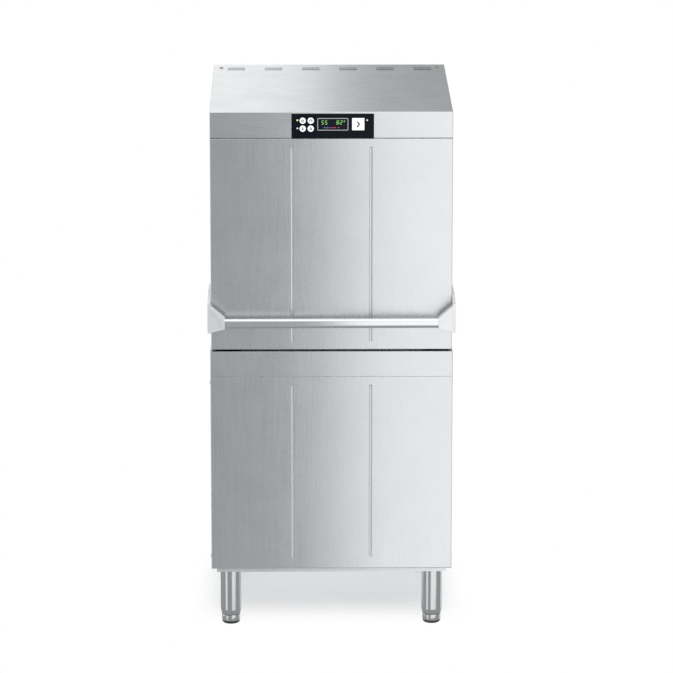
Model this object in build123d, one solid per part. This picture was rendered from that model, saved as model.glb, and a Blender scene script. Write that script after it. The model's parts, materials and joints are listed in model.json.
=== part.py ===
"""Hood-type commercial dishwasher: one STEP file per separate piece.

Millimetres, +Z up. The origin is on the floor under the centre of the whole
machine, the operator stands on the -Y side and +X is to the operator's right.
Legs and feet are dimensioned from the floor. Everything above them is
dimensioned from a datum BODY_RAISE above the floor and raised when written.
"""
from build123d import *

import math
import os

# ---- driving dimensions: outside ----
BASE_HALF = 348          # half width of the base
HOOD_HALF = 345          # half width of the hood
BASE_FRONT = -345        # front face of the base
BASE_REAR = 375          # rear face of the base
HOOD_FRONT = -342        # front face of the hood
HOOD_REAR = 240          # rear edge of the hood, just ahead of the column
COLUMN_FRONT = 246       # front wall of the rear column, which closes the chamber
SHEET = 1.5              # panel sheet thickness
RETURN = 12              # depth of the folded edge round a panel

BODY_RAISE = 16          # height of the body's datum above the floor
Z_LIP = 148              # lower edge of the chassis frame's turned-down lip
Z_FRAME = 155            # underside of the chassis floor pan
Z_PANEL = 161            # bottom edge of the base panels
Z_BAND = 730             # bottom edge of the worktop band
Z_DECK = 803             # top of the worktop deck
Z_HOOD = 808             # bottom edge of the closed hood
Z_COVER = 1418.5         # bottom edge of the hood's roof cover
Z_HOOD_PANEL = 1417      # top edge of the hood's panels
Z_ROOF = 1492            # front edge of the sloping roof
ROOF_RISE = 75           # how much higher the roof's rear edge is
Z_COLUMN = 1545          # top of the rear column

# ---- driving dimensions: inside ----
CHAMBER = (0, -42)       # centre line of the wash arms
TANK = (-258, 258, -298, 214)    # inner faces of the tank: left, right, front, rear
TANK_WALL = 2
Z_TANK = 562             # tank floor
ARM_REACH = 245          # from the arm's centre to its tip
GROOVE_X = 112.5         # the two pressed grooves in each front panel
GROOVE_HALF = 4.6        # half width of a groove
GROOVE_DEPTH = 2.6

# ---- driving dimensions: handle, legs, controls ----
TUBE_R = 14.5
TUBE_Y, TUBE_Z = -390, 894
TUBE_HALF = 304          # half length of the tube, which butts against both corner castings
TUBE_BORE = 12.9
CASTING_X = 353          # outer face of a corner casting
CASTING_FRONT = -405     # front face of a corner casting
LEG_X, LEG_FRONT, LEG_REAR = 293.5, -285, 315
LEG_R, FOOT_R, SPINDLE_R = 30, 26, 8
PANEL_LEFT, PANEL_RIGHT = -113.5, 121      # control fascia
PANEL_TOP = 1487.5
ROUND_BUTTONS = {
    "button_power": (-81.2, 1467.6),
    "button_program": (-58.4, 1467.6),
    "button_drain": (-81.2, 1445.0),
    "button_rinse": (-58.4, 1445.0),
}
BUTTON_R = 8.7
START_X, START_Z, START_HALF = 76, 1457.6, 17.2
DISPLAY = (-39.7, 47.9, 1439.8, 1474.9)
LAMPS = [(-96.3, 1469), (-96.3, 1446), (101.2, 1469)]
RUNNING = 0.05           # radial clearance of a running fit

CENTRE_MIN = (Align.CENTER, Align.CENTER, Align.MIN)
parts = {}


# ---- helpers ----
def block(x0, x1, y0, y1, z0, z1):
    """A box from its six faces."""
    return Pos((x0 + x1) / 2, (y0 + y1) / 2, (z0 + z1) / 2) * Box(x1 - x0, y1 - y0, z1 - z0)


def rod(start, end, radius):
    """A round bar between two points."""
    a, b = Vector(*start), Vector(*end)
    return Plane(origin=a, z_dir=b - a) * Cylinder(radius, (b - a).length, align=CENTRE_MIN)


def bent_rod(points, radius, bend, bore=0, close=False):
    """A round bar, or a pipe if it has a bore, along runs joined by tangent bends."""
    path = FilletPolyline(*points, radius=bend, close=close)
    section = Circle(radius)
    if bore:
        section = section - Circle(bore)
    return sweep(Plane(origin=path @ 0, z_dir=path % 0) * section, path=path)


def tube(x, y, z0, z1, outer, inner):
    """An upright sleeve."""
    return rod((x, y, z0), (x, y, z1), outer) - rod((x, y, z0 - 1), (x, y, z1 + 1), inner)


def tray(x0, x1, y0, y1, z0, z1, open_side, wall=SHEET, bend=2.5):
    """A folded sheet panel: a face with its edges returned towards the open side."""
    body = block(x0, x1, y0, y1, z0, z1)
    face_axis = Axis.X if "x" in open_side else Axis.Y
    faces = body.faces().sort_by(face_axis)
    face = faces[0] if open_side.startswith("+") else faces[-1]
    body = fillet(face.edges(), bend)
    inner = {"x0": x0 + wall, "x1": x1 - wall, "y0": y0 + wall, "y1": y1 - wall}
    if open_side == "+y":
        inner["y1"] = y1 + 1
    if open_side == "-y":
        inner["y0"] = y0 - 1
    if open_side == "+x":
        inner["x1"] = x1 + 1
    if open_side == "-x":
        inner["x0"] = x0 - 1
    return body - block(inner["x0"], inner["x1"], inner["y0"], inner["y1"], z0 + wall, z1 - wall)


def pressed_groove(panel, x, face_y, z0, z1):
    """Press an upright round-ended groove into a front panel, with its bead behind."""
    radius = (GROOVE_HALF**2 + GROOVE_DEPTH**2) / (2 * GROOVE_DEPTH)
    line_y = face_y - (radius - GROOVE_DEPTH)
    ends = (x, line_y, z0 + GROOVE_HALF), (x, line_y, z1 - GROOVE_HALF)

    def capsule(r):
        return rod(*ends, r) + Pos(*ends[0]) * Sphere(r) + Pos(*ends[1]) * Sphere(r)

    bead = capsule(radius + SHEET) & block(x - 30, x + 30, face_y + 0.5, face_y + 10, z0 - 9, z1 + 9)
    return panel + bead - capsule(radius)


def grid(columns, rows):
    """Every pair of a column and a row."""
    return [(a, b) for a in columns for b in rows]


# ---- chassis, legs and base panels ----
def chassis_frame():
    """Floor pan with edges turned up and down, four angle posts and a top ring."""
    x, y0, y1 = 333, -330, 360
    frame = block(-x, x, y0, y1, Z_LIP, Z_PANEL + 4)
    frame = frame - block(-x + 3, x - 3, y0 + 3, y1 - 3, Z_LIP - 1, Z_FRAME)
    frame = frame - block(-x + 3, x - 3, y0 + 3, y1 - 3, Z_FRAME + 3, Z_PANEL + 5)
    ring = block(-x, x, y0, y1, 785.5, 800.5) - block(-303, 303, y0 + 14, y1 - 30, 785, 801)
    frame = frame + ring
    for side, front in grid((-1, 1), (True, False)):
        xa, xb = sorted((side * x, side * (x - 30)))
        ya, yb = (y0, y0 + 30) if front else (y1 - 30, y1)
        post = block(xa, xb, ya, yb, Z_FRAME + 1, 786)
        xc, xd = (xa + 3, xb + 1) if side < 0 else (xa - 1, xb - 3)
        yc, yd = (ya + 3, yb + 1) if front else (ya - 1, yb - 3)
        frame = frame + (post - block(xc, xd, yc, yd, Z_FRAME, 787))
    return frame


def leg_tube(x, y):
    """Leg sleeve with a tapered lower end and a threaded plug for the foot's spindle."""
    top = Z_FRAME + BODY_RAISE
    leg = rod((x, y, 43), (x, y, top), LEG_R)
    leg = leg + Pos(x, y, 29) * Cone(27, LEG_R, 14, align=CENTRE_MIN)
    leg = leg - rod((x, y, 66), (x, y, top - 5), LEG_R - 1.6)
    return leg - rod((x, y, 20), (x, y, top - 10), SPINDLE_R + RUNNING)


def levelling_foot(x, y):
    """Round-bottomed foot pad on its spindle."""
    pad = rod((x, y, 0), (x, y, 28.5), FOOT_R)
    pad = fillet(pad.edges().sort_by(Axis.Z)[0], 9)
    return pad + rod((x, y, 28), (x, y, 125), SPINDLE_R)


def build_base():
    parts["chassis_frame"] = chassis_frame()
    places = [(x, y) for x in (-LEG_X, LEG_X) for y in (LEG_FRONT, LEG_REAR)]
    parts["leg_tubes"] = Compound(children=[leg_tube(x, y) for x, y in places])
    names = ["front_left", "rear_left", "front_right", "rear_right"]
    for name, (x, y) in zip(names, places):
        parts[f"levelling_foot_{name}"] = levelling_foot(x, y)

    front = tray(-BASE_HALF, BASE_HALF, BASE_FRONT, BASE_FRONT + RETURN, Z_PANEL, Z_BAND, "+y")
    for x in (-GROOVE_X, GROOVE_X):
        front = pressed_groove(front, x, BASE_FRONT, 195, 706)
    parts["base_front_panel"] = front

    side_y = BASE_FRONT + RETURN + 0.5, BASE_REAR - RETURN - 0.5
    left = tray(-BASE_HALF, -BASE_HALF + RETURN, *side_y, Z_PANEL, Z_BAND, "+x", bend=1.2)
    parts["base_left_panel"] = left
    parts["base_right_panel"] = mirror(left, Plane.YZ)

    rear = tray(-BASE_HALF, BASE_HALF, BASE_REAR - RETURN, BASE_REAR, Z_PANEL, Z_BAND, "-y")
    for x, z, r in ((250, 250, 13.5), (-215, 400, 21), (100, 250, 10.2)):
        rear = rear - rod((x, BASE_REAR - 20, z), (x, BASE_REAR + 5, z), r)
    for row in range(7):
        z = 560 + 16 * row
        for x in (-150, 0, 150):
            rear = rear - block(x - 50, x + 50, BASE_REAR - 5, BASE_REAR + 5, z, z + 5)
    parts["base_rear_panel"] = rear


def base_top_band():
    """Worktop band: a deck with a deep skirt, and a turned-up lip round the tank."""
    band = block(-BASE_HALF, BASE_HALF, BASE_FRONT, BASE_REAR, Z_BAND, Z_DECK)
    band = fillet(band.edges().filter_by(Axis.Z), 3)
    band = fillet(band.faces().sort_by(Axis.Z)[-1].edges(), 2)
    inner = BASE_HALF - SHEET
    band = band - block(-inner, inner, BASE_FRONT + SHEET, BASE_REAR - SHEET, Z_BAND - 1, Z_DECK - 2.5)
    x0, x1, y0, y1 = TANK
    lip = block(x0 - 2, x1 + 2, y0 - 2, y1 + 2, Z_DECK - 2.5, Z_DECK + 22)
    band = band + lip - block(x0, x1, y0, y1, Z_BAND, Z_DECK + 30)
    return band - rod((0, 300, 790), (0, 300, 810), 22)


# ---- tank and what stands in it ----
def wash_tank():
    """Tank with a flange, a sump and ledges for the filters."""
    x0, x1, y0, y1 = TANK
    w = TANK_WALL
    sump = -205, -55, -117, 33
    tank = block(x0 - w, x1 + w, y0 - w, y1 + w, Z_TANK - w, Z_DECK - 2.5)
    tank = tank + block(x0 - 14, x1 + 14, y0 - 14, y1 + 14, Z_DECK - 4.5, Z_DECK - 2.5)
    tank = tank + block(*sump, 500, Z_TANK)
    tank = tank - block(x0, x1, y0, y1, Z_TANK, Z_DECK)
    a, b, c, d = sump
    tank = tank - block(a + w, b - w, c + w, d - w, 502, Z_TANK + 1)
    for side in (-1, 1):
        xa, xb = sorted((side * x1, side * (x1 - 8)))
        tank = tank + block(xa, xb, y0, y1, 692, 696)
    for x, y, z, r in ((-215, -262, Z_TANK, 22), (-130, -42, 501, 18), (0, -42, Z_TANK, 18)):
        tank = tank - rod((x, y, z - 8), (x, y, z + 8), r)
    return tank


def tank_filter(side):
    """One perforated filter tray with an upturned rim and a finger loop."""
    x0, x1, y0, y1 = TANK
    xa, xb = sorted((side * 1, side * (x1 - 0.5)))
    plate = block(xa, xb, y0 + 0.5, y1 - 0.5, 696, 708)
    plate = plate - block(xa + 1.2, xb - 1.2, y0 + 1.7, y1 - 1.7, 697.2, 709)
    cutters = []
    for row in range(14):
        y = y0 + 45 + 30 * row
        for column in range(5):
            x = side * (62 + 40 * column)
            far_from_post = math.hypot(x, y + 42) > 60
            far_from_pipe = math.hypot(x + 215, y + 262) > 50
            if far_from_post and far_from_pipe:
                cutters.append(block(x - 13, x + 13, y - 5, y + 5, 690, 700))
    plate = plate - Compound(children=cutters)
    plate = plate - rod((0, -42, 690), (0, -42, 720), 40)
    return plate - rod((-215, -262, 690), (-215, -262, 720), 24)


def strainer_basket():
    """Perforated cup over the pump intake, with a bail to lift it by."""
    x, y = -130, -42
    cup = rod((x, y, 502), (x, y, 600), 45) - rod((x, y, 504), (x, y, 601), 43.5)
    cutters = []
    for turn in range(12):
        for level in range(5):
            z = 514 + 16 * level
            cut = Pos(45, 0, z) * Box(12, 9, 7)
            cutters.append(Pos(x, y, 0) * Rot(0, 0, 30 * turn) * cut)
    cup = cup - Compound(children=cutters)
    cup = cup - rod((x, y, 500), (x, y, 506), 18)
    bail = Pos(x, y, 600) * Rot(90, 0, 0) * Torus(44, 2)
    return cup + (bail & block(x - 60, x + 60, y - 9, y + 9, 599, 660))


def overflow_standpipe():
    """Lift-out drain pipe: its bottom plugs the drain, its mouth sets the level."""
    x, y = -215, -262
    pipe = tube(x, y, 546, 738, 15, 12.6)
    for turn in range(4):
        pipe = pipe - Pos(x, y, 690) * Rot(0, 0, 90 * turn) * Pos(14, 0, 0) * Box(10, 9, 20)
    cap = tube(x, y, 738, 746, 19, 6)
    cap = fillet(cap.edges().filter_by(GeomType.CIRCLE).sort_by(Axis.Z)[-1], 1.5)
    grip = Pos(x, y, 746) * Rot(90, 0, 0) * Torus(13, 2.4)
    return pipe + cap + (grip & block(x - 20, x + 20, y - 9, y + 9, 745, 770))


def arm_manifold(upper):
    """Fixed post with the spindle that both arms turn on."""
    x, y = CHAMBER
    if not upper:
        post = tube(x, y, Z_TANK, 740, 24, 18) + tube(x, y, Z_TANK, Z_TANK + 5, 38, 18)
        post = post + rod((x, y, 735), (x, y, 745), 24) + rod((x, y, 744), (x, y, 798), 10)
        return post + rod((x, y, 797.2), (x, y, 804), 15)
    pipe = bent_rod([(0, 300, 830), (0, 300, 1385), (x, y, 1385)], 19, 40, bore=17)
    head = rod((x, y, 1366), (x, y, 1400), 27) + rod((x, y, 1310), (x, y, 1368), 10)
    head = head + rod((x, y, 1306), (x, y, 1312.8), 15)
    return pipe - rod((x, y, 1367), (x, y, 1399), 25) + head


def spray_arm(z, hub_r, hub_height, width, height, nozzles, up, offset):
    """A rotating arm: hub with a running bore, two hollow blades and nozzles."""
    x, y = CHAMBER
    top = z + hub_height
    mid = z + hub_height / 2
    arm = rod((x, y, z), (x, y, top), hub_r)
    blade = block(-ARM_REACH, ARM_REACH, -width / 2, width / 2, mid - height / 2, mid + height / 2)
    blade = fillet(blade.edges().filter_by(Axis.X), height / 2 - 0.5)
    blade = fillet(blade.edges().filter_by(Axis.Z), 3)
    arm = arm + Pos(x, y, 0) * Rot(0, 0, offset) * blade
    face = mid + height / 2 if up else mid - height / 2
    for n in range(nozzles):
        reach = 60 + n * (ARM_REACH - 80) / (nozzles - 1)
        for side in (-1, 1):
            cup = Pos(side * reach, 0, face) * Cylinder(width / 3.4, 4)
            slot = Pos(side * reach, 0, face) * Rot(0, 0, 25 * side) * Box(width / 2.4, 1.8, 8)
            arm = arm + Pos(x, y, 0) * Rot(0, 0, offset) * cup - Pos(x, y, 0) * Rot(0, 0, offset) * slot
    return arm - rod((x, y, z - 1), (x, y, top + 1), 10 + RUNNING)


def rack_frame():
    """Rod frame that carries the dish rack and guides it sideways."""
    x, y0, y1 = 259, -299, 215
    corners = [(-x, y0, 846), (x, y0, 846), (x, y1, 846), (-x, y1, 846)]
    frame = bent_rod(corners, 6, 25, close=True)
    for y in (-190, 100):
        frame = frame + rod((-x, y, 846), (x, y, 846), 5)
    for px, py in grid((-x, x), (-140, 50)):
        frame = frame + rod((px, py, Z_DECK + 22), (px, py, 845), 4)
    return frame


def tank_heater():
    """Immersion element: a bent tube through a flange on the tank's right wall."""
    points = [(250, -150, 600), (70, -150, 600), (70, 80, 600), (250, 80, 600)]
    return bent_rod(points, 5, 20) + block(250, 258, -180, 110, 585, 615)


def build_tank():
    parts["base_top_band"] = base_top_band()
    parts["wash_tank"] = wash_tank()
    parts["tank_filters"] = Compound(children=[tank_filter(-1), tank_filter(1)])
    parts["strainer_basket"] = strainer_basket()
    parts["overflow_standpipe"] = overflow_standpipe()
    parts["lower_arm_manifold"] = arm_manifold(False)
    parts["upper_arm_manifold"] = arm_manifold(True)
    parts["lower_wash_arm"] = spray_arm(746, 24, 30, 30, 18, 5, True, 20)
    parts["lower_rinse_arm"] = spray_arm(777, 17, 19, 16, 11, 5, True, -50)
    parts["upper_wash_arm"] = spray_arm(1335, 24, 30, 30, 18, 5, False, 20)
    parts["upper_rinse_arm"] = spray_arm(1314, 17, 19.5, 16, 11, 5, False, -50)
    parts["rack_frame"] = rack_frame()
    parts["tank_heater"] = tank_heater()


# ---- pump, pipes, boiler and services ----
def wash_pump_housing():
    """Volute with a suction mouth in front and a discharge stub on top."""
    x, z = -130, 330
    case = rod((x, 25, z), (x, 75, z), 80) + rod((x, 5, z), (x, 26, z), 26)
    case = case + rod((-75, 50, z), (-75, 50, 430), 20)
    case = case - rod((x, 30, z), (x, 70, z), 72) - rod((x, 0, z), (x, 31, z), 18)
    case = case - rod((-75, 50, z), (-75, 50, 431), 17)
    suction = [(x, -42, 500), (x, -42, z), (x, 6, z)]
    case = case + bent_rod(suction, 24, 30) - bent_rod(suction, 18, 30)
    return case - rod((x, 69, z), (x, 76, z), SPINDLE_R + RUNNING)


def wash_pump_motor():
    """Finned motor on a foot, with a bearing bore for the shaft."""
    x, z = -130, 330
    motor = rod((x, 75, z), (x, 270, z), 56)
    for turn in range(24):
        fin = Pos(60, 175, 0) * Box(12, 150, 3)
        motor = motor + Pos(x, 0, z) * Rot(0, 15 * turn, 0) * fin
    motor = motor + rod((x, 75, z), (x, 84, z), 70) + rod((x, 250, z), (x, 276, z), 64)
    motor = motor + block(x - 45, x + 45, 100, 230, Z_FRAME + 3, z - 30)
    motor = motor + block(x - 30, x + 30, 130, 200, z + 40, z + 84)
    return motor - rod((x, 74, z), (x, 130, z), SPINDLE_R + RUNNING)


def wash_pump_impeller():
    """Impeller with six curved vanes on the motor's shaft."""
    x, z = -130, 330
    wheel = rod((x, 60, z), (x, 66, z), 62) + rod((x, 40, z), (x, 128, z), SPINDLE_R)
    for turn in range(6):
        vane = Pos(34, 51, 10) * Rot(0, 25, 0) * Box(46, 19, 3.5)
        wheel = wheel + Pos(x, 0, z) * Rot(0, 60 * turn, 0) * vane
    return wheel


def boiler_shell():
    """Rinse-water boiler: a cylinder on a skirt, open at the heater flange, with its outlet pipe."""
    x, y = 185, 150
    shell = rod((x, y, 180), (x, y, 500), 90)
    shell = fillet(shell.edges().filter_by(GeomType.CIRCLE), 20)
    shell = shell - rod((x, y, 200), (x, y, 480), 87)
    shell = shell + tube(x, y, Z_FRAME + 3, 200, 70, 67) + rod((x, y, 495), (x, y, 504), 58)
    shell = shell - rod((x, y, 470), (x, y, 510), 48)
    rinse = [(x, 64, 440), (x, -20, 440), (32, -20, 440), (32, -42, 440), (32, -42, 560)]
    return shell + bent_rod(rinse, 7, 10) - rod((x, 50, 440), (x, 70, 440), 5)


def boiler_heater():
    """Flange with three hairpin elements."""
    x, y = 185, 150
    heater = rod((x, y, 504), (x, y, 512), 58) + rod((x, y, 500), (x, y, 505), 46)
    heater = heater + rod((x, y, 511), (x, y, 545), 40)
    for angle in (0, 60, 120):
        c, s = 26 * math.cos(math.radians(angle)), 26 * math.sin(math.radians(angle))
        drop = 240 + angle / 4
        path = [(x - c, y - s, 502), (x - c, y - s, drop), (x + c, y + s, drop), (x + c, y + s, 502)]
        heater = heater + bent_rod(path, 4, 14)
    return heater


def build_services():
    parts["wash_pump_housing"] = wash_pump_housing()
    parts["wash_pump_motor"] = wash_pump_motor()
    parts["wash_pump_impeller"] = wash_pump_impeller()
    riser = [(0, -42, Z_TANK - TANK_WALL), (0, -42, 470), (0, 300, 470), (0, 300, 830)]
    feeder = [(-75, 50, 430), (-75, 50, 470), (0, 50, 470)]
    delivery = bent_rod(riser, 20, 36) + bent_rod(feeder, 18, 30)
    parts["delivery_pipe"] = delivery - bent_rod(riser, 17, 36) - bent_rod(feeder, 15, 30)
    parts["boiler_shell"] = boiler_shell()
    parts["boiler_heater"] = boiler_heater()
    drain = [(-215, -262, 538), (-215, -262, 400), (-215, 380, 400)]
    collar = tube(-215, -262, 538, 560, 28, 15.3) + tube(-215, -262, 556, 562, 22, 15.3)
    tail = rod((-215, 376, 400), (-215, 404, 400), 20) - rod((-215, 375, 400), (-215, 405, 400), 16.5)
    parts["drain_outlet"] = bent_rod(drain, 19, 40, bore=16.5) + collar + tail
    parts["water_inlet"] = water_inlet()
    parts["inlet_valve"] = inlet_valve()
    parts["cable_gland"] = cable_gland()
    parts["electrical_box"] = electrical_box()
    parts["contactors"] = Compound(children=[contactor(x) for x in (100, 165, 230)])
    parts["rinse_aid_pump_body"] = dosing_body()
    parts["rinse_aid_pump_rotor"] = dosing_rotor()


def water_inlet():
    """Three-quarter-inch threaded spigot with a locking nut and a collar."""
    x, z = 250, 250
    spigot = rod((x, 355, z), (x, 405, z), 13.2) + rod((x, 366, z), (x, 373.5, z), 18)
    nut = Plane(origin=(x, BASE_REAR, z), z_dir=(0, 1, 0)) * extrude(RegularPolygon(18, 6), 6)
    return spigot + nut - rod((x, 350, z), (x, 406, z), 9)


def inlet_valve():
    """Solenoid valve: a body in line with the inlet, with its coil above."""
    x, z = 250, 250
    body = block(x - 17, x + 17, 300, 355, z - 17, z + 17) + rod((x, 325, z + 16), (x, 325, z + 62), 17)
    body = body + rod((x, 272, z), (x, 301, z), 10)
    return body - rod((x, 270, z), (x, 356, z), 7)


def cable_gland():
    """Strain-relief gland in the rear panel, with nothing through it."""
    x, z = 100, 250
    gland = rod((x, 362, z), (x, 400, z), 10) + rod((x, 363, z), (x, 373.5, z), 15)
    nut = Plane(origin=(x, BASE_REAR, z), z_dir=(0, 1, 0)) * extrude(RegularPolygon(15, 6), 12)
    gland = gland + nut - rod((x, 360, z), (x, 401, z), 6.5)
    return fillet(gland.edges().filter_by(GeomType.CIRCLE).sort_by(Axis.Y)[-2:], 0.8)


def electrical_box():
    """Open-fronted tray behind the front panel, with a terminal block at its foot."""
    box = block(60, 290, -300, -225, 200, 470) - block(62, 288, -301, -227, 202, 468)
    box = box + block(80, 270, -245, -226, 206, 236) + block(62, 288, -235, -227, 330, 365)
    for n in range(8):
        box = box - rod((92 + 23 * n, -246, 221), (92 + 23 * n, -236, 221), 4)
    return box + block(75, 105, -228, -224, Z_FRAME + 3, 201) + block(245, 275, -228, -224, Z_FRAME + 3, 201)


def contactor(x):
    """One contactor clipped on the rail."""
    body = block(x - 23, x + 23, -285, -235, 310, 385)
    body = fillet(body.edges().filter_by(Axis.Y), 2)
    for n in range(3):
        for z in (318, 377):
            body = body - rod((x - 14 + 14 * n, -286, z), (x - 14 + 14 * n, -276, z), 4)
    return body + block(x - 12, x + 12, -292, -284, 335, 360)


def dosing_body():
    """Peristaltic pump for rinse aid: a housing with a round track and two spigots."""
    x, z = -230, 300
    body = block(x - 36, x + 36, -300, -250, z - 36, z + 36)
    body = fillet(body.edges().filter_by(Axis.Y), 6) - rod((x, -301, z), (x, -272, z), 28)
    body = body + rod((x - 18, -286, z + 35), (x - 18, -286, z + 62), 4)
    body = body + rod((x + 18, -286, z + 35), (x + 18, -286, z + 62), 4)
    body = body + rod((x, -250, z), (x, -205, z), 24)
    body = body + block(x - 30, x + 30, -256, -250, Z_FRAME + 3, z - 35)
    return body - rod((x, -273, z), (x, -255, z), 4 + RUNNING)


def dosing_rotor():
    """Rotor with three rollers and its shaft."""
    x, z = -230, 300
    rotor = rod((x, -296, z), (x, -292, z), 22) + rod((x, -278, z), (x, -274, z), 22)
    rotor = rotor + rod((x, -296, z), (x, -256, z), 4)
    for turn in range(3):
        a = math.radians(120 * turn + 90)
        px, pz = x + 17 * math.cos(a), z + 17 * math.sin(a)
        rotor = rotor + rod((px, -294, pz), (px, -276, pz), 6)
    return rotor


# ---- rear column with the hood's lift ----
def column_shell():
    """Closed column behind the chamber, slotted for the hood's carriage."""
    half = HOOD_HALF
    shell = block(-half, half, COLUMN_FRONT, BASE_REAR, Z_DECK, Z_COLUMN)
    shell = fillet(shell.edges().filter_by(Axis.Z), 3)
    shell = fillet(shell.faces().sort_by(Axis.Z)[-1].edges(), 2)
    inner = half - SHEET
    shell = shell - block(-inner, inner, COLUMN_FRONT + SHEET, BASE_REAR - SHEET, 800, Z_COLUMN - SHEET)
    for side in (-1, 1):
        shell = shell - block(side * 334 - 6, side * 334 + 6, 240, 250, 840, 1500)
    shell = shell - rod((0, 240, 1385), (0, 250, 1385), 21)
    for row in range(6):
        z = 1440 + 14 * row
        for x in (-200, 0, 200):
            shell = shell - block(x - 45, x + 45, BASE_REAR - 5, BASE_REAR + 5, z, z + 5)
    return shell


def guide_rail(side):
    """Channel open towards the outer wall, built up from a web, two cheeks and the spring's anchor."""
    xa, xb = sorted((side * 304, side * 307))
    web = block(xa, xb, 282, 323, Z_DECK, 1530)
    xc, xd = sorted((side * 307, side * 329))
    cheeks = [block(xc, xd, y, y + 3, Z_DECK, 1530) for y in (282, 320)]
    xe, xf = sorted((side * 304, side * 343))
    anchor = block(xe, xf, 323, 364, 1500, 1504) + block(xe, xf, 364, 373.5, 1500, 1530)
    return [web, *cheeks, anchor]


def lift_spring(side):
    """Extension spring beside a rail, drawn as its outer sleeve between two eyes."""
    x, y = side * 334, 352
    coil = tube(x, y, 905, 1490, 9, 6.5)
    for n in range(38):
        coil = coil - (tube(x, y, 915 + 15 * n, 919 + 15 * n, 10, 8))
    return coil + rod((x, y, 1489), (x, y, 1500), 9) + rod((x, y, 897), (x, y, 906), 9)


def hood_carriage():
    """Yoke behind the hood's side walls: a cross-beam, two uprights and two roller pins."""
    yoke = block(-336, 336, 214, 236, 1430, 1455)
    for side in (-1, 1):
        xa, xb = sorted((side * 332, side * 336))
        yoke = yoke + block(xa, xb, 214, 236, 860, 1431)
        yoke = yoke + block(xa, xb, 214, 362, 860, 890)
        yoke = yoke + rod((side * 333, 302.5, 875), (side * 310, 302.5, 875), 5)
        xc, xd = sorted((side * 326, side * 342))
        yoke = yoke + block(xc, xd, 344, 360, 893, 897) + block(xa, xb, 344, 360, 889, 894)
    return yoke


def guide_roller(side):
    """Roller that runs in the rail."""
    a, b = side * 311, side * 326
    wheel = rod((a, 302.5, 875), (b, 302.5, 875), 17)
    return wheel - rod((a - side, 302.5, 875), (b + side, 302.5, 875), 5 + RUNNING)


def build_column():
    parts["column_shell"] = column_shell()
    parts["guide_rails"] = Compound(children=guide_rail(-1) + guide_rail(1))
    parts["lift_springs"] = Compound(children=[lift_spring(-1), lift_spring(1)])
    parts["hood_carriage"] = hood_carriage()
    parts["guide_roller_left"] = guide_roller(-1)
    parts["guide_roller_right"] = guide_roller(1)


# ---- hood ----
def hood_liner():
    """Inner skin of the hood: top and three walls, open below and behind."""
    liner = block(-325, 325, -322, 238, Z_HOOD, 1420)
    liner = fillet(liner.edges().filter_by(Axis.Z).sort_by(Axis.Y)[:2], 20)
    inside = block(-323.5, 323.5, -320.5, 245, Z_HOOD - 1, 1418.5)
    inside = fillet(inside.edges().filter_by(Axis.Z).sort_by(Axis.Y)[:2], 18.5)
    return liner - inside


def roof_profile(inset, bottom):
    """Side outline of the roof cover, moved in by an inset."""
    slope = ROOF_RISE / (HOOD_REAR - HOOD_FRONT)
    y0, y1 = HOOD_FRONT + inset, HOOD_REAR - inset
    z0 = Z_ROOF + slope * inset - inset
    z1 = z0 + slope * (y1 - y0)
    return Polyline((y0, bottom), (y0, z0), (y1, z1), (y1, bottom), close=True)


def roof_prism(inset, bottom):
    """The roof cover's solid outline, moved in by an inset."""
    face = make_face(roof_profile(inset, bottom))
    half = HOOD_HALF - inset
    return extrude(Plane(origin=(-half, 0, 0), x_dir=(0, 1, 0), z_dir=(1, 0, 0)) * face, 2 * half)


def roof_cover():
    """Roof cover: control strip in front, sloping top, six louvres near the rear edge."""
    cover = roof_prism(0, Z_COVER)
    cover = fillet(cover.edges().filter_by(Axis.X).sort_by(Axis.Z)[-2:], 2.5)
    uprights = cover.edges().filter_by(Axis.Z)
    cover = fillet(uprights, 2.5)
    cover = cover - roof_prism(SHEET, Z_COVER - 1)
    cover = cover - block(PANEL_LEFT, PANEL_RIGHT, HOOD_FRONT - 1, HOOD_FRONT + 4, 1400, PANEL_TOP)
    tilt = math.degrees(math.atan2(ROOF_RISE, HOOD_REAR - HOOD_FRONT))
    slope = ROOF_RISE / (HOOD_REAR - HOOD_FRONT)
    for n in range(6):
        x = (n - 2.5) * 111
        for y in (171, 193):
            z = Z_ROOF + slope * (y - HOOD_FRONT)
            slot = Pos(x, y, z) * Rot(tilt, 0, 0) * extrude(SlotOverall(54, 8), 4, both=True)
            cover = cover - slot
    return cover


def hood_front_panel():
    """Front panel with its two grooves."""
    panel = tray(-HOOD_HALF, HOOD_HALF, HOOD_FRONT, HOOD_FRONT + RETURN, Z_HOOD, Z_HOOD_PANEL, "+y")
    for x in (-GROOVE_X, GROOVE_X):
        panel = pressed_groove(panel, x, HOOD_FRONT, 831, 1393)
    return panel


def hood_side_panel():
    """Left side panel, notched at the back for the carriage arm."""
    panel = tray(-HOOD_HALF, -HOOD_HALF + RETURN, HOOD_FRONT + RETURN + 0.5, HOOD_REAR,
                 Z_HOOD, Z_HOOD_PANEL, "+x", bend=1.2)
    panel = panel - block(-337, -330, HOOD_REAR - 4, HOOD_REAR + 1, 858, 892)
    return panel - block(-337, -330, 212, HOOD_REAR + 1, Z_HOOD_PANEL - 3, Z_HOOD_PANEL + 1)


def handle_tube():
    """Straight tube across the front, pushed over a spigot of each casting."""
    bar = rod((-TUBE_HALF, TUBE_Y, TUBE_Z), (TUBE_HALF, TUBE_Y, TUBE_Z), TUBE_R)
    return bar - rod((-TUBE_HALF - 1, TUBE_Y, TUBE_Z), (TUBE_HALF + 1, TUBE_Y, TUBE_Z), TUBE_BORE)


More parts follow.
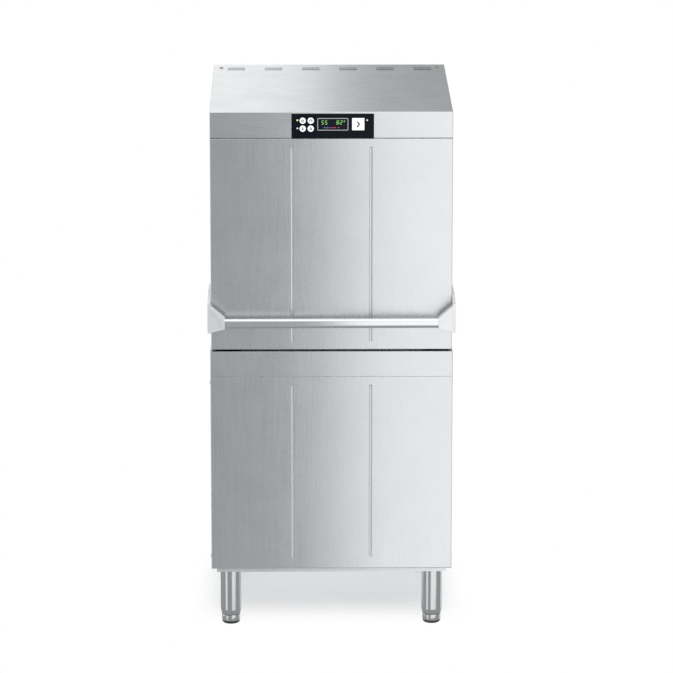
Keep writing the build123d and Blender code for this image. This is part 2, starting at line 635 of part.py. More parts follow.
def handle_casting():
    """Left corner casting: a side plate along the hood, a tapering nose and the tube's spigot."""
    outer, inner, tip = -CASTING_X, -HOOD_HALF, -TUBE_HALF
    low, top = TUBE_Z - 27, TUBE_Z + 57
    facing = Plane(origin=(0, CASTING_FRONT, 0), x_dir=(1, 0, 0), z_dir=(0, -1, 0))
    front = Polyline((outer, low), (outer, top), (tip, TUBE_Z + 15.5), (tip, TUBE_Z - 15.5), close=True)
    nose = extrude(facing * make_face(front), -31)
    nose = fillet(nose.faces().sort_by(Axis.Y)[0].edges(), 1.5)
    side = Polyline((CASTING_FRONT, low), (CASTING_FRONT, top), (-330, top + 16), (-170, top + 22),
                    (-170, top - 6), (-330, low + 28), close=True)
    plate = extrude(Plane(origin=(outer, 0, 0), x_dir=(0, 1, 0), z_dir=(1, 0, 0)) * make_face(side),
                    inner - outer)
    plate = fillet(plate.edges().filter_by(Axis.X).sort_by(Axis.Y)[-2:], 10)
    plate = fillet(plate.faces().sort_by(Axis.X)[0].edges(), 1.5)
    recess = Polyline((outer + 6, low + 8), (outer + 6, top - 16), (-315, TUBE_Z + 8), (-315, TUBE_Z - 10),
                      close=True)
    pocket = extrude(facing * make_face(recess), -3)
    spigot = rod((tip - 4, TUBE_Y, TUBE_Z), (tip + 22, TUBE_Y, TUBE_Z), TUBE_BORE - RUNNING)
    return nose + plate - pocket + spigot


def build_hood():
    parts["hood_liner"] = hood_liner()
    parts["roof_cover"] = roof_cover()
    parts["hood_front_panel"] = hood_front_panel()
    left = hood_side_panel()
    parts["hood_left_panel"] = left
    parts["hood_right_panel"] = mirror(left, Plane.YZ)
    parts["handle_tube"] = handle_tube()
    casting = handle_casting()
    parts["handle_casting_left"] = casting
    parts["handle_casting_right"] = mirror(casting, Plane.YZ)


# ---- controls ----
def control_fascia():
    """Fascia plate with a shallow housing behind it and openings for what shows."""
    x0, x1, z0, z1 = PANEL_LEFT + 0.5, PANEL_RIGHT - 0.5, Z_COVER, PANEL_TOP - 0.5
    plate = block(x0, x1, HOOD_FRONT - 2, HOOD_FRONT + 2, z0, z1)
    plate = fillet(plate.faces().sort_by(Axis.Y)[0].edges(), 0.8)
    back = HOOD_FRONT + 2, HOOD_FRONT + 19
    case = block(x0 + 4, x1 - 4, *back, 1424, z1 - 4) - block(x0 + 6, x1 - 6, back[0] - 1, back[1] + 1, 1426, z1 - 6)
    fascia = plate + case
    for x, z in ROUND_BUTTONS.values():
        fascia = fascia - rod((x, HOOD_FRONT - 5, z), (x, HOOD_FRONT + 5, z), BUTTON_R + 0.4)
    gap = START_HALF + 0.4
    fascia = fascia - block(START_X - gap, START_X + gap, HOOD_FRONT - 5, HOOD_FRONT + 5,
                            START_Z - gap, START_Z + gap)
    a, b, c, d = DISPLAY
    fascia = fascia - block(a, b, HOOD_FRONT - 5, HOOD_FRONT + 5, c, d)
    for x, z in LAMPS:
        fascia = fascia - rod((x, HOOD_FRONT - 5, z), (x, HOOD_FRONT + 5, z), 2.2)
    return fascia


def display_module():
    """Circuit board with the display window and three light pipes standing on it."""
    a, b, c, d = DISPLAY
    front = HOOD_FRONT - 1.6
    window = block(a + 0.2, b - 0.2, front, HOOD_FRONT + 12, c + 0.2, d - 0.2)
    window = window - block(a + 2.2, b - 2.2, front - 1, front + 1, c + 2.2, d - 2.2)
    board = block(PANEL_LEFT + 8, PANEL_RIGHT - 8, HOOD_FRONT + 12, HOOD_FRONT + 13.6, 1428, PANEL_TOP - 8)
    module = window + board
    for x, z in LAMPS:
        lamp = rod((x, HOOD_FRONT - 2.6, z), (x, HOOD_FRONT + 12.5, z), 2)
        module = module + fillet(lamp.edges().sort_by(Axis.Y)[0], 0.8)
    return module


def round_button(x, z):
    """Domed cap on a stem, kept in by a flange behind the fascia."""
    cap = rod((x, HOOD_FRONT - 3.8, z), (x, HOOD_FRONT + 4, z), BUTTON_R)
    cap = fillet(cap.edges().filter_by(GeomType.CIRCLE).sort_by(Axis.Y)[0], 1)
    flange = rod((x, HOOD_FRONT + 2.3, z), (x, HOOD_FRONT + 4, z), BUTTON_R + 1.2)
    return cap + flange + rod((x, HOOD_FRONT + 4, z), (x, HOOD_FRONT + 10, z), 3)


def start_button():
    """Square cap on a stem, kept in by a flange behind the fascia."""
    h = START_HALF
    cap = block(START_X - h, START_X + h, HOOD_FRONT - 4, HOOD_FRONT + 4, START_Z - h, START_Z + h)
    cap = fillet(cap.edges().filter_by(Axis.Y), 2.5)
    cap = fillet(cap.faces().sort_by(Axis.Y)[0].edges(), 0.8)
    g = h + 1.2
    flange = block(START_X - g, START_X + g, HOOD_FRONT + 2.3, HOOD_FRONT + 4, START_Z - g, START_Z + g)
    return cap + flange + rod((START_X, HOOD_FRONT + 4, START_Z), (START_X, HOOD_FRONT + 10, START_Z), 5)


def build_controls():
    parts["control_fascia"] = control_fascia()
    parts["display_module"] = display_module()
    for name, (x, z) in ROUND_BUTTONS.items():
        parts[name] = round_button(x, z)
    parts["button_start"] = start_button()


# ---- fasteners ----
def side_screw(x, y, z, side):
    """Low-headed screw in a side face."""
    head = rod((x, y, z), (x + side * 2.4, y, z), 5.5)
    return head - Pos(x + side * 2.4, y, z) * Box(1.6, 7, 1.4)


def roof_screw(x, y):
    """Low-headed screw standing on the sloping roof."""
    slope = ROOF_RISE / (HOOD_REAR - HOOD_FRONT)
    z = Z_ROOF + slope * (y - HOOD_FRONT)
    tilt = math.degrees(math.atan(slope))
    screw = Pos(0, 0, 0.1) * Cylinder(5, 2.2, align=CENTRE_MIN)
    screw = screw - Pos(0, 0, 2.3) * Box(6.4, 1.3, 1.6)
    return Pos(x, y, z) * Rot(tilt, 0, 0) * screw


def build_fasteners():
    hood = [roof_screw(x, 199) for x in (-322, 322)]
    for side in (-1, 1):
        for y, z in ((-290, TUBE_Z + 38), (-200, TUBE_Z + 59)):
            hood.append(side_screw(side * CASTING_X, y, z, side))
    parts["hood_screws"] = Compound(children=hood)
    base = []
    for side in (-1, 1):
        for y, z in grid((-300, 330), (190, 705)):
            base.append(side_screw(side * BASE_HALF, y, z, side))
    parts["base_screws"] = Compound(children=base)


def main():
    os.makedirs("parts", exist_ok=True)
    build_base()
    build_tank()
    build_services()
    build_column()
    build_hood()
    build_controls()
    build_fasteners()
    for name, shape in parts.items():
        stands_on_floor = name == "leg_tubes" or name.startswith("levelling_foot")
        placed = shape if stands_on_floor else Pos(0, 0, BODY_RAISE) * shape
        export_step(placed, f"parts/{name}.step")
    print(len(parts), "parts written")


main()
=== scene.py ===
"""The hood-type dishwasher's looks: finishes, small visible details, lights and the camera.

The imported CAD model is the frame. Metres, +Z up, the operator stands on the -Y side.
"""

import json
import math

import bmesh
import bpy
from mathutils import Matrix, Vector


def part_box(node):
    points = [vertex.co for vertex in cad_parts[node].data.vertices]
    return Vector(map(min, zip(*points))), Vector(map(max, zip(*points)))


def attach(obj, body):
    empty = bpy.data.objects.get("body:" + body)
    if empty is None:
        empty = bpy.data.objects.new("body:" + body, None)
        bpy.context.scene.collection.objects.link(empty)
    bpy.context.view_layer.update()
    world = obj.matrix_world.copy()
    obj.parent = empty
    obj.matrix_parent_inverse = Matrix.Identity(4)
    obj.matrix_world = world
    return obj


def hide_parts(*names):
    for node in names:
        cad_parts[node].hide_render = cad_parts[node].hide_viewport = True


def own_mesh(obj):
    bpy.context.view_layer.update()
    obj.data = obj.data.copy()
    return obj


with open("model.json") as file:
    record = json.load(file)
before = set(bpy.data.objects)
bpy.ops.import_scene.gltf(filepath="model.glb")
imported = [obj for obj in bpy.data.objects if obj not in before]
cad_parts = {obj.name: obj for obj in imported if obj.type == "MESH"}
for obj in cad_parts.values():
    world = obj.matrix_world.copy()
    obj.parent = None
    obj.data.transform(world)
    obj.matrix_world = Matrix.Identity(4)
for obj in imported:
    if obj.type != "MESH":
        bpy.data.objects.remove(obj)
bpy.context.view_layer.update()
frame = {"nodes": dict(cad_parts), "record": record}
NODES = frame["nodes"]


# ---- places, read from the frame ----
def corners(node):
    """A node's lowest and highest corner, as vectors."""
    low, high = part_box(node)
    return Vector(low), Vector(high)


def facing_centre(node):
    """The middle of a node's front face, as x, y and z."""
    low, high = corners(node)
    return (low.x + high.x) / 2, low.y, (low.z + high.z) / 2


FASCIA_LOW, FASCIA_HIGH = corners("control_fascia")


# ---- node helpers ----
class Finish:
    """A material under construction, with short calls for the nodes it needs."""

    def __init__(self, name):
        self.material = bpy.data.materials.new(name)
        self.material.use_nodes = True
        self.tree = self.material.node_tree
        self.shader = self.tree.nodes["Principled BSDF"]
        self.where = self.add("ShaderNodeNewGeometry").outputs["Position"]

    def add(self, kind, **values):
        node = self.tree.nodes.new(kind)
        for key, value in values.items():
            setattr(node, key, value)
        return node

    def link(self, source, target):
        self.tree.links.new(source, target)

    def constants(self, **values):
        """Sets sockets of the shader that are the same all over the surface."""
        for key, value in values.items():
            self.shader.inputs[key.replace("_", " ")].default_value = value
        return self

    def scaled(self, scale):
        """The surface's position, stretched along each axis."""
        node = self.add("ShaderNodeMapping")
        node.inputs["Scale"].default_value = scale
        self.link(self.where, node.inputs["Vector"])
        return node.outputs["Vector"]

    def noise(self, scale, size=1.0, detail=4.0, rough=0.55):
        node = self.add("ShaderNodeTexNoise")
        node.inputs["Scale"].default_value = size
        node.inputs["Detail"].default_value = detail
        node.inputs["Roughness"].default_value = rough
        self.link(self.scaled(scale), node.inputs["Vector"])
        return node.outputs["Fac"]

    def spread(self, source, low, high, from_low=0.3, from_high=0.7):
        """A value mapped from one range to another."""
        node = self.add("ShaderNodeMapRange")
        node.inputs["From Min"].default_value = from_low
        node.inputs["From Max"].default_value = from_high
        node.inputs["To Min"].default_value = low
        node.inputs["To Max"].default_value = high
        self.link(source, node.inputs["Value"])
        return node.outputs["Result"]

    def combine(self, a, b, operation="ADD"):
        """A sum, or another operation, of two values or numbers."""
        node = self.add("ShaderNodeMath", operation=operation)
        for socket, value in zip(node.inputs, (a, b)):
            if isinstance(value, (int, float)):
                socket.default_value = value
            else:
                self.link(value, socket)
        return node.outputs["Value"]

    def colour_between(self, factor, dark, light):
        node = self.add("ShaderNodeMix", data_type="RGBA")
        node.inputs["A"].default_value = (*dark, 1)
        node.inputs["B"].default_value = (*light, 1)
        self.link(factor, node.inputs["Factor"])
        return node.outputs["Result"]

    def colour(self, source):
        self.link(source, self.shader.inputs["Base Color"])

    def roughness(self, source):
        self.link(source, self.shader.inputs["Roughness"])

    def bump(self, source, strength, distance):
        node = self.add("ShaderNodeBump")
        node.inputs["Strength"].default_value = strength
        node.inputs["Distance"].default_value = distance
        self.link(source, node.inputs["Height"])
        self.link(node.outputs["Normal"], self.shader.inputs["Normal"])


def brushed_steel(name, grain, tone=0.62, rough=0.3, depth=0.00006, warm=0.0):
    """Brushed sheet: fine streaks along one axis, faint clouds and light smudges."""
    f = Finish(name)
    f.constants(Metallic=1.0)
    streaks = f.noise(grain, detail=5.0, rough=0.7)
    clouds = f.noise((2.2, 2.2, 2.2), detail=3.0)
    smudges = f.noise((9, 9, 9), detail=5.0, rough=0.65)
    mixed = f.combine(f.combine(streaks, 0.55, "MULTIPLY"), f.combine(clouds, 0.45, "MULTIPLY"))
    dark = (tone * 0.94, tone * 0.955 + 0.004, tone * 0.97 + 0.006)
    light = (tone * 1.06 + warm, tone * 1.07 + warm * 0.6, tone * 1.075)
    f.colour(f.colour_between(f.spread(mixed, 0.0, 1.0, 0.35, 0.65), dark, light))
    base = f.spread(streaks, rough - 0.05, rough + 0.06)
    f.roughness(f.combine(base, f.spread(smudges, -0.02, 0.03)))
    f.bump(streaks, 0.35, depth)
    return f.material


def plain_finish(name, colour, rough, metallic=0.0, mottle=0.08, bump=0.00003, shine=0.5, glow=0.0):
    """A moulded, cast or painted surface: slight mottling, uneven sheen and a fine texture."""
    f = Finish(name)
    f.constants(Metallic=metallic, Specular_IOR_Level=shine)
    # glow: an emission in the surface's own colour. On the white buttons, which are no lamps, this is a
    # painted glow that makes them look brighter than the lights alone would.
    if glow:
        f.constants(Emission_Color=(*colour, 1), Emission_Strength=glow)
    cloud = f.noise((12, 12, 12), detail=4.0)
    fine = f.noise((720, 720, 720), detail=3.0, rough=0.6)
    dark = tuple(c * (1 - mottle) for c in colour)
    light = tuple(min(1.0, c * (1 + mottle)) for c in colour)
    f.colour(f.colour_between(f.spread(cloud, 0.0, 1.0), dark, light))
    f.roughness(f.combine(f.spread(cloud, rough * 0.9, rough * 1.1), f.spread(fine, -0.02, 0.03)))
    f.bump(fine, 0.4, bump)
    return f.material


def glowing(name, colour, strength):
    """A lit segment or lamp, a little uneven across its face."""
    f = Finish(name)
    cloud = f.spread(f.noise((900, 900, 900), detail=2.0), 0.0, 1.0)
    f.colour(f.colour_between(cloud, tuple(c * 0.7 for c in colour), colour))
    glow = f.colour_between(cloud, tuple(c * 0.8 for c in colour), colour)
    f.link(glow, f.shader.inputs["Emission Color"])
    f.constants(Emission_Strength=strength, Roughness=0.4)
    return f.material


# How closely the streaks of brushed steel lie along x, y and z, per metre.
UPRIGHT = (900, 900, 7)       # streaks that run up and down
ALONG_X = (7, 900, 900)       # streaks that run from side to side
ALL_WAYS = (160, 160, 160)    # an even grain, for small turned parts

FINISH = {
    "panel": brushed_steel("finish_panel_steel", UPRIGHT, tone=0.66, rough=0.27),
    "roof": brushed_steel("finish_roof_steel", ALONG_X, tone=0.66, rough=0.28),
    "chassis": brushed_steel("finish_chassis_steel", ALONG_X, tone=0.78, rough=0.42, warm=0.01),
    "tank": brushed_steel("finish_tank_steel", ALONG_X, tone=0.6, rough=0.28),
    "tube": brushed_steel("finish_polished_tube", ALONG_X, tone=0.74, rough=0.16, depth=0.00003),
    "leg": brushed_steel("finish_leg_tube", UPRIGHT, tone=0.58, rough=0.18, depth=0.00003),
    "casting": plain_finish("finish_casting", (0.9, 0.905, 0.91), 0.42, metallic=0.25, mottle=0.03,
                            bump=0.00006),
    "screw": brushed_steel("finish_screw", ALL_WAYS, tone=0.5, rough=0.25),
    "rubber": plain_finish("finish_foot_rubber", (0.05, 0.05, 0.052), 0.55, mottle=0.2, bump=0.0001),
    "fascia": plain_finish("finish_fascia", (0.005, 0.007, 0.012), 0.3, mottle=0.15, bump=0.00001, shine=0.1),
    "window": plain_finish("finish_display_window", (0.006, 0.009, 0.018), 0.2, bump=0.00001, shine=0.15),
    # The buttons' emission (glow=0.4) is painted light: a painted glow on plain white buttons, not lamps, so
    # that they read whiter.
    "button": plain_finish("finish_button_painted_glow", (0.93, 0.93, 0.935), 0.38, mottle=0.02, bump=0.00002, glow=0.4),
    "plastic": plain_finish("finish_pump_plastic", (0.05, 0.052, 0.056), 0.5, mottle=0.15, bump=0.00012),
    "motor": plain_finish("finish_motor_paint", (0.06, 0.085, 0.12), 0.45, mottle=0.1, bump=0.0002),
    "pipe": plain_finish("finish_pipe_plastic", (0.16, 0.17, 0.18), 0.45, mottle=0.1, bump=0.00008),
    "spring": brushed_steel("finish_spring_wire", ALL_WAYS, tone=0.42, rough=0.32),
    "nylon": plain_finish("finish_nylon", (0.78, 0.77, 0.72), 0.5, mottle=0.04, bump=0.00006),
    "brass": plain_finish("finish_brass", (0.72, 0.55, 0.26), 0.28, metallic=1.0, mottle=0.08),
    "zinc": plain_finish("finish_zinc_tray", (0.5, 0.52, 0.54), 0.42, metallic=1.0, mottle=0.14),
    "icon": plain_finish("finish_icon_ink", (0.02, 0.022, 0.03), 0.6, mottle=0.1, shine=0.1),
    "rim": plain_finish("finish_display_frame", (0.62, 0.64, 0.67), 0.35, mottle=0.05),
    "green": glowing("finish_green_segment", (0.35, 0.85, 0.2), 0.9),
    "red": glowing("finish_red_mark", (0.7, 0.08, 0.14), 0.5),
    "violet": glowing("finish_violet_mark", (0.28, 0.22, 0.6), 0.35),
    "lamp": glowing("finish_lamp", (0.7, 0.85, 0.25), 1.2),
    "pale_lamp": glowing("finish_pale_lamp", (0.75, 0.8, 0.74), 0.5),
}

FINISH_OF_SLOT = {
    "steel_panels": "panel", "steel_chassis": "chassis", "steel_tank": "tank", "steel_tube": "tube",
    "casting": "casting", "leg_steel": "leg", "foot_rubber": "rubber", "screw_steel": "screw",
    "fascia_black": "fascia", "display_glass": "window", "button_white": "button",
    "pump_plastic": "plastic", "motor_cast": "motor", "pipe_plastic": "pipe", "spring_steel": "spring",
    "nylon": "nylon", "brass_fitting": "brass", "box_grey": "zinc",
}


def finish_cad_nodes():
    """Gives every CAD node the finish of its slot."""
    for part in frame["record"]["subparts"]:
        finish = FINISH_OF_SLOT[part["material_slot"]]
        if part["node"] == "roof_cover":
            finish = "roof"
        data = NODES[part["node"]].data
        data.materials.clear()
        data.materials.append(FINISH[finish])


finish_cad_nodes()


# ---- mesh helpers ----
def new_piece(name, mesh, body, finish, smooth=True):
    """Links a mesh as a piece that rides on a body."""
    piece = bpy.data.objects.new(name, mesh)
    bpy.context.scene.collection.objects.link(piece)
    mesh.materials.append(FINISH[finish])
    if smooth:
        mesh.shade_smooth()
    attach(piece, body)
    return piece


def mesh_from(name, build):
    """A mesh made by a function that fills a bmesh."""
    shape = bmesh.new()
    build(shape)
    bmesh.ops.recalc_face_normals(shape, faces=shape.faces)
    mesh = bpy.data.meshes.new(name)
    shape.to_mesh(mesh)
    shape.free()
    return mesh


def add_block(shape, low, high, bevel=0.0, segments=2):
    """A bevelled box between two corners."""
    low, high = Vector(low), Vector(high)
    place = Matrix.Translation((low + high) / 2) @ Matrix.Diagonal((*(high - low), 1))
    made = bmesh.ops.create_cube(shape, size=1, matrix=place)
    if bevel:
        edges = {e for v in made["verts"] for e in v.link_edges}
        bmesh.ops.bevel(shape, geom=list(edges), offset=bevel, segments=segments, affect="EDGES",
                        profile=0.5, clamp_overlap=True)


def add_bar(shape, start, end, radius, sides=12):
    """A round bar between two points."""
    start, end = Vector(start), Vector(end)
    along = end - start
    place = Matrix.Translation((start + end) / 2) @ along.to_track_quat("Z", "Y").to_matrix().to_4x4()
    bmesh.ops.create_cone(shape, cap_ends=True, segments=sides, radius1=radius, radius2=radius,
                          depth=along.length, matrix=place)


# ---- the control panel's small pieces ----
INK = 0.0002                  # half the thickness of a lit mark on the glass
GLASS_INSET = 0.0011          # the marks' depth behind the display module's front
DIGIT_WIDTH, DIGIT_HEIGHT, DIGIT_PITCH = 0.0056, 0.0104, 0.0098
DIGIT_SEGMENTS = {"2": "abged", "5": "afgcd", "8": "abcdefg"}


def segment_digit(shape, digit, x, y, z):
    """One seven-segment digit, leaning a little to the right."""
    thick = DIGIT_WIDTH * 0.17
    side, half = DIGIT_WIDTH / 2, DIGIT_HEIGHT / 2
    bars = {
        "a": (0, half, True), "g": (0, 0, True), "d": (0, -half, True),
        "f": (-side, half / 2, False), "b": (side, half / 2, False),
        "e": (-side, -half / 2, False), "c": (side, -half / 2, False),
    }
    for key in DIGIT_SEGMENTS[digit]:
        dx, dz, flat = bars[key]
        lean = dz * 0.12
        w, h = (DIGIT_WIDTH * 0.36, thick / 2) if flat else (thick / 2, half * 0.4)
        add_mark(shape, x + dx + lean, y, z + dz, w, h, thick * 0.2, 1)


def add_mark(shape, x, y, z, half_width, half_height, bevel=0.0, segments=2):
    """A flat mark on the display's glass, about its middle."""
    reach = Vector((half_width, INK, half_height))
    middle = Vector((x, y, z))
    add_block(shape, middle - reach, middle + reach, bevel, segments)


def panel_piece(name, fill, finish, body="hood", smooth=False):
    """One of the control panel's small pieces, from the function that fills its mesh."""
    new_piece(name, mesh_from(name, fill), body, finish, smooth)


def display_pieces():
    """Display frame, lit digits and the row of small marks under them."""
    glass_y = corners("display_module")[0].y + GLASS_INSET
    left, right = FASCIA_LOW.x + 0.0733, FASCIA_HIGH.x - 0.0726
    bottom, top = FASCIA_LOW.z + 0.0213, FASCIA_HIGH.z - 0.0121
    digit_z = top - 0.0125
    mark_z = bottom + 0.0078

    def frame_bars(shape):
        wide, front, back = 0.0019, FASCIA_LOW.y - 0.0008, FASCIA_LOW.y + 0.0004
        for a, b in (((left, top - wide), (right, top)), ((left, bottom), (right, bottom + wide)),
                     ((left, bottom), (left + wide, top)), ((right - wide, bottom), (right, top))):
            add_block(shape, (a[0], front, a[1]), (b[0], back, b[1]), bevel=0.0003)
    panel_piece("display_frame", frame_bars, "rim")

    def digits(shape):
        for start, pair in ((left + 0.0150, "55"), (right - 0.0300, "82")):
            for n, digit in enumerate(pair):
                segment_digit(shape, digit, start + n * DIGIT_PITCH, glass_y, digit_z)
        degree_x, degree_z, radius, dots = right - 0.0112, digit_z + 0.0036, 0.0013, 10
        for n in range(dots):
            a = math.tau * n / dots
            add_mark(shape, degree_x + radius * math.cos(a), glass_y,
                     degree_z + radius * math.sin(a), 0.0004, 0.0004)
    panel_piece("display_digits", digits, "green")

    rows = (("red", (0.0430, 0.0500, 0.0600)), ("violet", (0.0200, 0.0270, 0.0345)))
    for colour, steps in rows:
        def marks(shape, steps=steps):
            for step in steps:
                add_mark(shape, left + step, glass_y, mark_z, 0.0022, 0.0011, 0.0005)
        panel_piece(f"display_{colour}_marks", marks, colour)


def add_arc(shape, x, y, z, radius, start, end, width, steps=18):
    """A curved stroke made of short bars, between two angles in degrees."""
    points = []
    for n in range(steps + 1):
        a = math.radians(start + (end - start) * n / steps)
        points.append((x + radius * math.cos(a), y, z + radius * math.sin(a)))
    for a, b in zip(points, points[1:]):
        add_bar(shape, a, b, width, 8)


# Each round button's sign about the button's middle: arcs as (height, radius, start, end in degrees),
# then straight strokes as (x, z, x, z).
ROUND_SIGNS = {
    "button_power": ([(-0.0004, 0.0034, 130, 410)], [(0, 0.0004, 0, 0.0042)]),
    "button_program": ([(0, 0.0034, -20, 250)],
                       [(0.0032, -0.0012, 0.0050, 0.0012), (0.0032, -0.0012, 0.0010, 0.0004)]),
    "button_drain": ([], [(0, 0.0040, 0, -0.0034), (0, -0.0036, -0.0026, -0.0008),
                          (0, -0.0036, 0.0026, -0.0008)]),
    "button_rinse": ([(-0.0010, 0.0026, 150, 390)],
                     [(-0.0022, 0.0003, 0, 0.0040), (0.0022, 0.0003, 0, 0.0040)]),
}
SIGN_STROKE = 0.00085
CHEVRON_STROKE = 0.0017


def button_signs():
    """A generic sign on each round button, and the start button's chevron."""
    for node, (arcs, strokes) in ROUND_SIGNS.items():
        def sign(shape, node=node, arcs=arcs, strokes=strokes):
            x, y, z = facing_centre(node)
            for up, radius, start, end in arcs:
                add_arc(shape, x, y, z + up, radius, start, end, SIGN_STROKE)
            for x1, z1, x2, z2 in strokes:
                add_bar(shape, (x + x1, y, z + z1), (x + x2, y, z + z2), SIGN_STROKE, 8)
        panel_piece(f"{node}_sign", sign, "icon", node, smooth=True)

    def chevron(shape):
        x, y, z = facing_centre("button_start")
        for side in (-1, 1):
            add_bar(shape, (x - 0.0034, y, z + side * 0.0078), (x + 0.0036, y, z), CHEVRON_STROKE, 10)
    panel_piece("button_start_sign", chevron, "icon", "button_start", smooth=True)


def lamp_lenses():
    """Three lit lenses over the light pipes."""
    left, right = FASCIA_LOW.x + 0.0167, FASCIA_HIGH.x - 0.0193
    low, high = FASCIA_LOW.z + 0.0275, FASCIA_HIGH.z - 0.0180
    for name, x, z, finish in (("lamp_power", left, high, "lamp"), ("lamp_supply", left, low, "pale_lamp"),
                               ("lamp_start", right, high, "pale_lamp")):
        def lens(shape, x=x, z=z):
            place = Matrix.Translation((x, FASCIA_LOW.y - 0.0004, z)) @ Matrix.Diagonal((1, 0.5, 1, 1))
            bmesh.ops.create_uvsphere(shape, u_segments=20, v_segments=12, radius=0.0024, matrix=place)
        panel_piece(name, lens, finish, smooth=True)


def fascia_edge():
    """A thin pale reveal down the fascia's left and right edges."""
    def strips(shape):
        for x in (FASCIA_LOW.x - 0.0009, FASCIA_HIGH.x + 0.0001):
            add_block(shape, (x, FASCIA_LOW.y + 0.0004, FASCIA_LOW.z + 0.0005),
                      (x + 0.0008, FASCIA_LOW.y + 0.0016, FASCIA_HIGH.z - 0.0005), bevel=0.0002)
    panel_piece("fascia_reveal", strips, "rim")


display_pieces()
button_signs()
lamp_lenses()
fascia_edge()


# ---- the feet's steel cups ----
def turned_mesh(name, centre, profile, sides=40):
    """A closed profile of (radius, height) points turned about an upright axis."""
    def fill(shape):
        rings = []
        for n in range(sides):
            a = math.tau * n / sides
            rings.append([shape.verts.new((centre[0] + r * math.cos(a), centre[1] + r * math.sin(a), z))
                          for r, z in profile])
        for n, ring in enumerate(rings):
            following = rings[(n + 1) % sides]
            for k in range(len(profile)):
                after = (k + 1) % len(profile)
                shape.faces.new((ring[k], following[k], following[after], ring[after]))
    return mesh_from(name, fill)


# A cup's outline: how far past the rubber's radius, and how high over the floor.
CUP_OUTLINE = [(-0.0030, 0.0056), (-0.0006, 0.0072), (0.0003, 0.0105), (0.0005, 0.0180), (0.0005, 0.0245),
               (0.0001, 0.0270), (-0.0010, 0.0280), (-0.0022, 0.0270), (-0.0024, 0.0100)]


def foot_cups():
    """A rolled steel cup round the upper part of each rubber foot."""
    for corner in ("front_left", "rear_left", "front_right", "rear_right"):
        low, high = corners(f"levelling_foot_{corner}")
        middle = ((low.x + high.x) / 2, (low.y + high.y) / 2)
        radius = (high.x - low.x) / 2
        profile = [(radius + out, low.z + up) for out, up in CUP_OUTLINE]
        name = f"foot_cup_{corner}"
        new_piece(name, turned_mesh(name, middle, profile), f"foot_{corner}", "leg")


foot_cups()


# ---- the lift springs, which shorten as the hood rises on the machine; these coils keep one length ----
SPRING_RADIUS = 0.0074
SPRING_WIRE = 0.0014          # the wire's own radius
SPRING_TURNS = 62
SPRING_END = 0.004            # from the coil's end to the stub's, both ways
SPRING_INSET = 0.009          # from the node's outer side to the coil's middle


def helix_mesh(name, centre, low_z, high_z, radius, wire, turns, sides=7, per_turn=18):
    """Wire wound into a coil, with a short stub through each end."""
    steps = turns * per_turn
    rings = []
    for n in range(steps + 1):
        share = n / steps
        a = math.tau * turns * share
        z = low_z + (high_z - low_z) * share
        out = Vector((math.cos(a), math.sin(a), 0))
        middle = Vector((*centre, z)) + radius * out
        ring = []
        for k in range(sides):
            b = math.tau * k / sides
            ring.append(middle + wire * (out * math.cos(b) + Vector((0, 0, 1)) * math.sin(b)))
        rings.append(ring)

    def fill(shape):
        loops = [[shape.verts.new(p) for p in ring] for ring in rings]
        for a, b in zip(loops, loops[1:]):
            for k in range(sides):
                shape.faces.new((a[k], a[(k + 1) % sides], b[(k + 1) % sides], b[k]))
        shape.faces.new(loops[0])
        shape.faces.new(loops[-1][::-1])
        for z in (low_z, high_z):
            add_bar(shape, (*centre, z - SPRING_END), (*centre, z + SPRING_END), radius * 0.8)
    return mesh_from(name, fill)


def lift_springs():
    """One coil on each side of the column, from the carriage to the anchor."""
    low, high = corners("lift_springs")
    y = (low.y + high.y) / 2
    for side, name in ((-1, "lift_spring_left"), (1, "lift_spring_right")):
        x = side * (high.x - SPRING_INSET)
        mesh = helix_mesh(name, (x, y), low.z + SPRING_END, high.z - SPRING_END,
                          SPRING_RADIUS, SPRING_WIRE, SPRING_TURNS)
        piece = new_piece(name, mesh, "chassis", "spring")
        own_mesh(piece)
        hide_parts("lift_springs")


lift_springs()


# ---- stage, lights and camera ----
WHITE = (1, 1, 1, 1)
FLOOR_HALF = 0.7              # half the floor's side
FLOOR_SHIFT = 0.13            # how far the floor's middle lies behind the machine's
FADE_SIDE = (-0.05, 0.07)     # where the floor fades, from the machine's side outwards
FADE_DEPTH = (0.13, 0.46)     # where it fades, from the floor's middle to front and back


def build_stage():
    """A pale floor under the machine that fades out into the white of the studio."""
    base_low, base_high = corners("base_front_panel")
    column_back = corners("column_shell")[1].y
    middle = (base_low.y + column_back) / 2 + FLOOR_SHIFT

    def grid(shape):
        bmesh.ops.create_grid(shape, x_segments=8, y_segments=8, size=FLOOR_HALF,
                              matrix=Matrix.Translation((0, middle, 0)))
    f = Finish("finish_floor")
    cloud = f.noise((0.6, 0.6, 0.6), detail=2.0)
    f.colour(f.colour_between(f.spread(cloud, 0.0, 1.0), (0.93, 0.93, 0.935), (0.95, 0.95, 0.955)))
    f.constants(Roughness=0.9, Specular_IOR_Level=0.1, Emission_Color=WHITE, Emission_Strength=0.3)
    place = f.add("ShaderNodeSeparateXYZ")
    f.link(f.where, place.inputs["Vector"])
    sides = [base_high.x + reach for reach in FADE_SIDE]
    fades = []
    for axis, centre, (start, end) in (("X", 0, sides), ("Y", middle, FADE_DEPTH)):
        reach = f.combine(f.combine(place.outputs[axis], centre, "SUBTRACT"), 0, "ABSOLUTE")
        fade = f.add("ShaderNodeMapRange", interpolation_type="SMOOTHSTEP")
        for socket, value in (("From Min", start), ("From Max", end), ("To Min", 1.0), ("To Max", 0.0)):
            fade.inputs[socket].default_value = value
        f.link(reach, fade.inputs["Value"])
        fades.append(fade.outputs["Result"])
    f.link(f.combine(*fades, "MULTIPLY"), f.shader.inputs["Alpha"])
    floor = bpy.data.objects.new("stage_floor", mesh_from("stage_floor", grid))
    bpy.context.scene.collection.objects.link(floor)
    floor.data.materials.append(f.material)


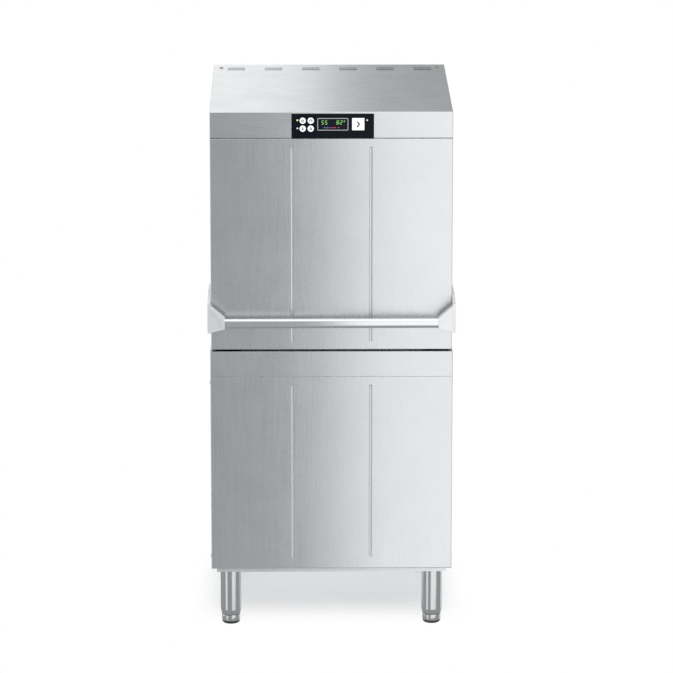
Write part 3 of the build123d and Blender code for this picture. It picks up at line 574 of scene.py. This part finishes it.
def softbox(name, place, aim, width, height, radiance):
    """A soft light that isn't seen by the camera itself."""
    light = bpy.data.lights.new(name, "AREA")
    light.shape = "RECTANGLE"
    light.size, light.size_y = width, height
    light.energy = radiance * math.pi * width * height
    lamp = bpy.data.objects.new(name, light)
    bpy.context.scene.collection.objects.link(lamp)
    lamp.location = place
    lamp.rotation_euler = (Vector(aim) - Vector(place)).to_track_quat("-Z", "Y").to_euler()
    lamp.visible_camera = False


AIR_TINT = (0.96, 0.98, 1.0, 1)
AIR_STRENGTH = 0.44


def build_world():
    """Even studio air: white behind the object, pale grey in reflections."""
    world = bpy.data.worlds.new("studio")
    bpy.context.scene.world = world
    world.use_nodes = True
    tree = world.node_tree
    tree.nodes.clear()
    out = tree.nodes.new("ShaderNodeOutputWorld")
    mix = tree.nodes.new("ShaderNodeMixShader")
    path = tree.nodes.new("ShaderNodeLightPath")
    tree.links.new(path.outputs["Is Camera Ray"], mix.inputs["Fac"])
    for socket, colour, strength in ((1, AIR_TINT, AIR_STRENGTH), (2, WHITE, 1.0)):
        shade = tree.nodes.new("ShaderNodeBackground")
        shade.inputs["Color"].default_value = colour
        shade.inputs["Strength"].default_value = strength
        tree.links.new(shade.outputs["Background"], mix.inputs[socket])
    tree.links.new(mix.outputs["Shader"], out.inputs["Surface"])


# Each light's place, what it points at, its width and height, and its radiance.
SOFTBOXES = {
    "light_right_card": ((1.03, -1.65, 1.0), (1.03, 0, 1.0), 2.0, 3.0, 0.85),
    "light_top": ((0, -0.4, 3.6), (0, -0.2, 0), 3.4, 3.4, 1.15),
    "light_rear_left": ((-2.1, 7.0, 4.25), (-2.1, 0.0, 1.6), 4.3, 3.0, 0.9),
    "light_side_left": ((-5.0, 1.1, 0.9), (0, 0, 0.9), 3.0, 3.0, 1.3),
    "light_front_left": ((-5.2, -4.4, -0.3), (0, 0, -0.3), 2.4, 5.0, 0.8),
    "light_rear_right": ((5.2, 4.4, -0.3), (0, 0, -0.3), 2.4, 5.0, 0.9),
}
CAMERA_PLACE = Vector((-0.10, -9.342, 2.569))
CAMERA_AIM = Vector((0.0145, -0.342, 0.862))
CAMERA_REACH = 60             # how far the camera sees
SENSOR_MM, LENS_MM = 36, 171.05


def build_camera():
    """A long lens, a little above the machine, looking slightly down."""
    data = bpy.data.cameras.new("camera")
    data.sensor_width = SENSOR_MM
    data.lens = LENS_MM
    data.clip_end = CAMERA_REACH
    camera = bpy.data.objects.new("camera", data)
    bpy.context.scene.collection.objects.link(camera)
    camera.location = CAMERA_PLACE
    camera.rotation_euler = (CAMERA_AIM - CAMERA_PLACE).to_track_quat("-Z", "Y").to_euler()
    bpy.context.scene.camera = camera
    bpy.context.scene.view_settings.view_transform = "Standard"


build_stage()
build_world()
for light_name, settings in SOFTBOXES.items():
    softbox(light_name, *settings)
build_camera()
